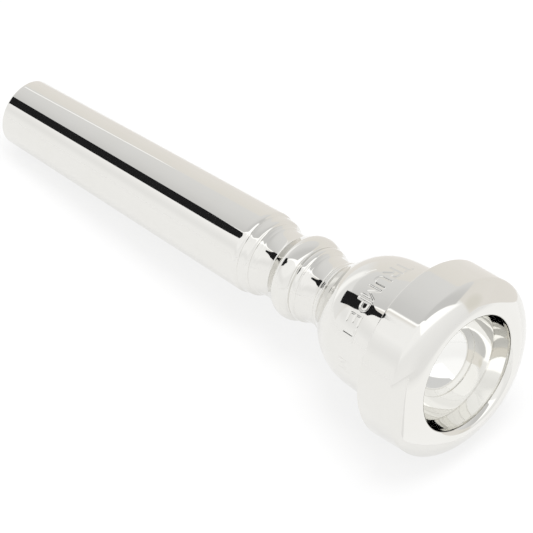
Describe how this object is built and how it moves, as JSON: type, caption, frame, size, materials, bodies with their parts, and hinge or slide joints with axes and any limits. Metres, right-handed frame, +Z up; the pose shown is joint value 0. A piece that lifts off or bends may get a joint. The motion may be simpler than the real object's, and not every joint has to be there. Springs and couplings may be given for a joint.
{
  "type": "trumpet mouthpiece",
  "caption": "Silver-plated cup mouthpiece for a trumpet, lying on its side; its rim and cup come off the tapered shank along one axis.",
  "frame": {"origin": "bottom centre of the bounding box, on the surface that the mouthpiece lies on", "axes": "+X along the mouthpiece towards the rim, +Z up; the mouthpiece's own axis lies in the XZ plane and climbs 5.98 degrees from +X towards +Z"},
  "size_m": [0.0876, 0.0262, 0.0265],
  "materials": {
    "rim": "mirror-polished silver plate over brass",
    "cup": "mirror-polished silver plate over brass, engraved",
    "shank": "polished silver plate over brass"
  },
  "bodies": {
    "shank": {"shank": "shank"},
    "cup": {"cup": "cup"},
    "rim": {"rim": "rim"}
  },
  "joints": [
    {"name": "cup_off_shank", "type": "slide", "parent": "shank", "child": "cup", "axis": [0.9946, 0, 0.1042], "range_m": [0, 0.02]},
    {"name": "rim_off_cup", "type": "slide", "parent": "cup", "child": "rim", "axis": [0.9946, 0, 0.1042], "range_m": [0, 0.02]}
  ]
}
